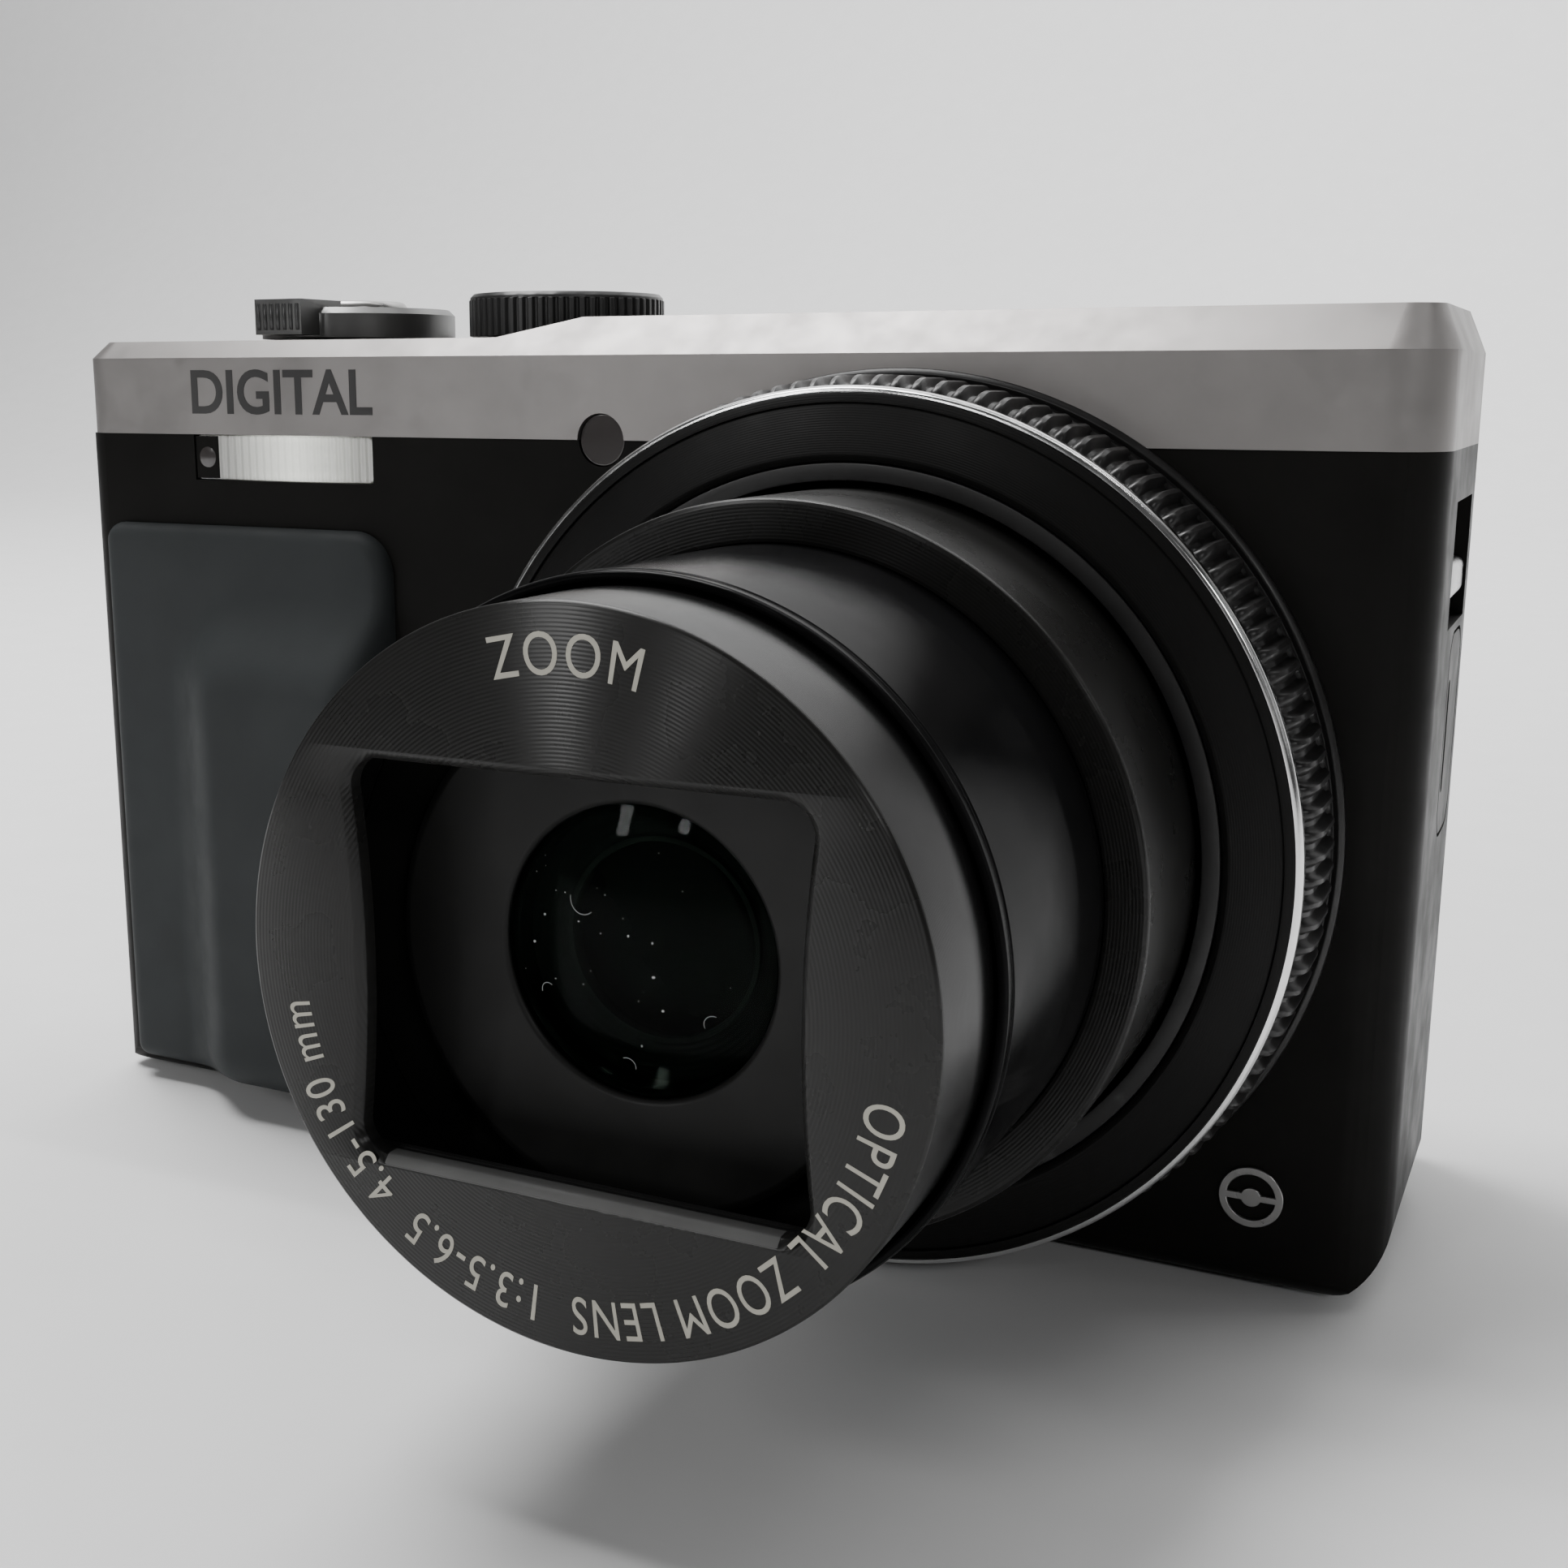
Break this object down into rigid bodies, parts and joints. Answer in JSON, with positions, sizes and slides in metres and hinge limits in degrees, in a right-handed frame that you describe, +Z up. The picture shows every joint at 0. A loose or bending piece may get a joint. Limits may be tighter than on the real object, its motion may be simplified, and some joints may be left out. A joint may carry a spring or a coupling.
{
  "type": "compact digital camera",
  "caption": "Compact travel-zoom digital camera with telescoping lens, knurled control ring, flip-up rear screen, viewfinder, dials and grip.",
  "frame": {"origin": "on the base plane, at the middle of the body's width, 15 mm behind the front face", "axes": "+X towards the lens side (right as seen from the front), +Y towards the rear screen, +Z up; the lens points along -Y"},
  "size_m": [0.112, 0.0784, 0.0696],
  "materials": {
    "black_body": "satin black paint",
    "rubber_pad": "matte slate rubber",
    "silver_paint": "metallic silver paint",
    "black_anodised": "turned black anodised",
    "gloss_black": "gloss black",
    "black_inner": "matt black",
    "bright_trim": "bright turned metal",
    "dial_metal": "dark silver",
    "screen_glass": "dark glass",
    "steel": "plain steel",
    "lens_glass": "coated glass",
    "clear_window": "frosted clear window",
    "smoke_window": "dark smoke window",
    "reflector": "polished reflector",
    "blade_metal": "dark blade",
    "gear_plastic": "natural acetal",
    "board": "green solder mask",
    "battery_wrap": "dark sleeve"
  },
  "bodies": {
    "root": {"front_cover": "black_body", "grip_pad": "rubber_pad", "top_cover": "silver_paint", "rear_cover": "black_body", "door_hinge_pin": "steel", "strap_bar": "bright_trim", "front_emblem": "bright_trim", "flash_window": "clear_window", "flash_unit": "reflector", "lamp_window": "smoke_window", "thumb_rest": "rubber_pad", "tripod_socket": "steel", "case_screws": "steel", "lens_rim": "black_body", "lens_base": "black_inner", "image_sensor": "board", "zoom_motor": "steel", "screen_hinge": "steel", "eyecup": "rubber_pad", "eyepiece_lens": "lens_glass", "viewfinder_module": "black_inner", "battery": "battery_wrap", "memory_card": "battery_wrap", "battery_holder": "black_inner", "chassis": "steel", "main_board": "board", "speaker": "black_inner"},
    "control_ring": {"control_ring": "black_anodised", "control_ring_trim": "bright_trim", "control_ring_face": "black_anodised"},
    "outer_barrel": {"outer_barrel": "black_anodised"},
    "middle_barrel": {"middle_barrel": "gloss_black", "rear_lens_group": "black_inner"},
    "front_barrel": {"front_barrel": "black_anodised", "name_ring": "black_anodised", "lens_retainer": "black_inner", "front_lens": "lens_glass"},
    "screen": {"screen_shell": "gloss_black", "screen_glass": "screen_glass"},
    "upper_inner_blade": {"upper_inner_blade": "blade_metal"},
    "upper_outer_blade": {"upper_outer_blade": "blade_metal"},
    "lower_inner_blade": {"lower_inner_blade": "blade_metal"},
    "lower_outer_blade": {"lower_outer_blade": "blade_metal"},
    "cam_ring": {"cam_ring": "black_inner"},
    "zoom_gear": {"zoom_gear": "gear_plastic"},
    "zoom_lever": {"zoom_lever": "dial_metal"},
    "shutter_button": {"shutter_button": "bright_trim"},
    "mode_dial": {"mode_dial": "dial_metal"},
    "power_button": {"power_button": "dial_metal"},
    "playback_button": {"playback_button": "gloss_black"},
    "menu_button": {"menu_button": "gloss_black"},
    "delete_button": {"delete_button": "gloss_black"},
    "display_button": {"display_button": "gloss_black"},
    "movie_button": {"movie_button": "gloss_black"},
    "control_dial": {"control_dial": "dial_metal"},
    "dial_button": {"dial_button": "gloss_black"},
    "battery_door": {"battery_door": "black_body"},
    "battery_latch": {"battery_latch": "gloss_black"},
    "terminal_door": {"terminal_door": "black_body"},
    "dioptre_dial": {"dioptre_dial": "black_inner"}
  },
  "joints": [
    {"name": "lens_retract", "type": "slide", "parent": "root", "child": "outer_barrel", "axis": [0, 1, 0], "range_m": [0, 0.011]},
    {"name": "middle_slide", "type": "slide", "parent": "outer_barrel", "child": "middle_barrel", "axis": [0, 1, 0], "range_m": [0, 0.018]},
    {"name": "front_slide", "type": "slide", "parent": "middle_barrel", "child": "front_barrel", "axis": [0, 1, 0], "range_m": [0, 0.0074]},
    {"name": "barrier_close", "type": "slide", "parent": "front_barrel", "child": "upper_inner_blade", "axis": [0, 0, -1], "range_m": [0, 0.0113]},
    {"name": "upper_outer_slide", "type": "slide", "parent": "front_barrel", "child": "upper_outer_blade", "axis": [0, 0, -1], "range_m": [0, 0.00565]},
    {"name": "lower_inner_slide", "type": "slide", "parent": "front_barrel", "child": "lower_inner_blade", "axis": [0, 0, 1], "range_m": [0, 0.0113]},
    {"name": "lower_outer_slide", "type": "slide", "parent": "front_barrel", "child": "lower_outer_blade", "axis": [0, 0, 1], "range_m": [0, 0.00565]},
    {"name": "cam_turn", "type": "hinge", "parent": "root", "child": "cam_ring", "pos_m": [0.01985, -0.004, 0.03162], "axis": [0, 1, 0], "range_deg": [0, 100]},
    {"name": "gear_turn", "type": "hinge", "parent": "root", "child": "zoom_gear", "pos_m": [0.0461, -0.01, 0.05162], "axis": [0, 1, 0], "range_deg": [-530.6, 0]},
    {"name": "control_ring_turn", "type": "hinge", "parent": "root", "child": "control_ring", "pos_m": [0.01985, -0.02, 0.03162], "axis": [0, 1, 0], "continuous": true},
    {"name": "zoom_lever_turn", "type": "hinge", "parent": "root", "child": "zoom_lever", "pos_m": [-0.036, -0.0012, 0.067], "axis": [0, 0, 1], "range_deg": [-18, 18], "stiffness_Nm_per_rad": 0.04},
    {"name": "shutter_press", "type": "slide", "parent": "root", "child": "shutter_button", "axis": [0, 0, -1], "range_m": [0, 0.001], "stiffness_N_per_m": 400},
    {"name": "mode_dial_turn", "type": "hinge", "parent": "root", "child": "mode_dial", "pos_m": [-0.0148, -0.0012, 0.067], "axis": [0, 0, 1], "continuous": true},
    {"name": "power_press", "type": "slide", "parent": "root", "child": "power_button", "axis": [0, 0, -1], "range_m": [0, 0.0006], "stiffness_N_per_m": 500},
    {"name": "playback_press", "type": "slide", "parent": "root", "child": "playback_button", "axis": [0, -1, 0], "range_m": [0, 0.0006], "stiffness_N_per_m": 500},
    {"name": "menu_press", "type": "slide", "parent": "root", "child": "menu_button", "axis": [0, -1, 0], "range_m": [0, 0.0006], "stiffness_N_per_m": 500},
    {"name": "delete_press", "type": "slide", "parent": "root", "child": "delete_button", "axis": [0, -1, 0], "range_m": [0, 0.0006], "stiffness_N_per_m": 500},
    {"name": "display_press", "type": "slide", "parent": "root", "child": "display_button", "axis": [0, -1, 0], "range_m": [0, 0.0006], "stiffness_N_per_m": 500},
    {"name": "movie_press", "type": "slide", "parent": "root", "child": "movie_button", "axis": [0, -1, 0], "range_m": [0, 0.0005], "stiffness_N_per_m": 500},
    {"name": "control_dial_turn", "type": "hinge", "parent": "root", "child": "control_dial", "pos_m": [-0.0405, 0.0148, 0.022], "axis": [0, 1, 0], "continuous": true},
    {"name": "dial_button_press", "type": "slide", "parent": "root", "child": "dial_button", "axis": [0, -1, 0], "range_m": [0, 0.0006], "stiffness_N_per_m": 500},
    {"name": "screen_flip", "type": "hinge", "parent": "root", "child": "screen", "pos_m": [0.015, 0.01575, 0.0542], "axis": [1, 0, 0], "range_deg": [0, 180]},
    {"name": "battery_door_swing", "type": "hinge", "parent": "root", "child": "battery_door", "pos_m": [-0.017, -0.004, 0.00135], "axis": [0, -1, 0], "range_deg": [0, 95]},
    {"name": "battery_latch_slide", "type": "slide", "parent": "battery_door", "child": "battery_latch", "axis": [1, 0, 0], "range_m": [0, 0.002]},
    {"name": "terminal_door_swing", "type": "hinge", "parent": "root", "child": "terminal_door", "pos_m": [0.056, 0.00515, 0.038], "axis": [0, 0, 1], "range_deg": [0, 110]},
    {"name": "dioptre_turn", "type": "hinge", "parent": "root", "child": "dioptre_dial", "pos_m": [0.0296, 0.0125, 0.0615], "axis": [0, 1, 0], "range_deg": [-150, 150]}
  ],
  "couplings": [
    {"joint": "middle_slide", "follows": "lens_retract", "ratio": 1.6364},
    {"joint": "front_slide", "follows": "lens_retract", "ratio": 0.67273},
    {"joint": "cam_turn", "follows": "lens_retract", "rad_per_m": 158.66},
    {"joint": "gear_turn", "follows": "lens_retract", "rad_per_m": -838.66},
    {"joint": "upper_outer_slide", "follows": "barrier_close", "ratio": 0.5},
    {"joint": "lower_inner_slide", "follows": "barrier_close", "ratio": 1},
    {"joint": "lower_outer_slide", "follows": "barrier_close", "ratio": 0.5}
  ]
}
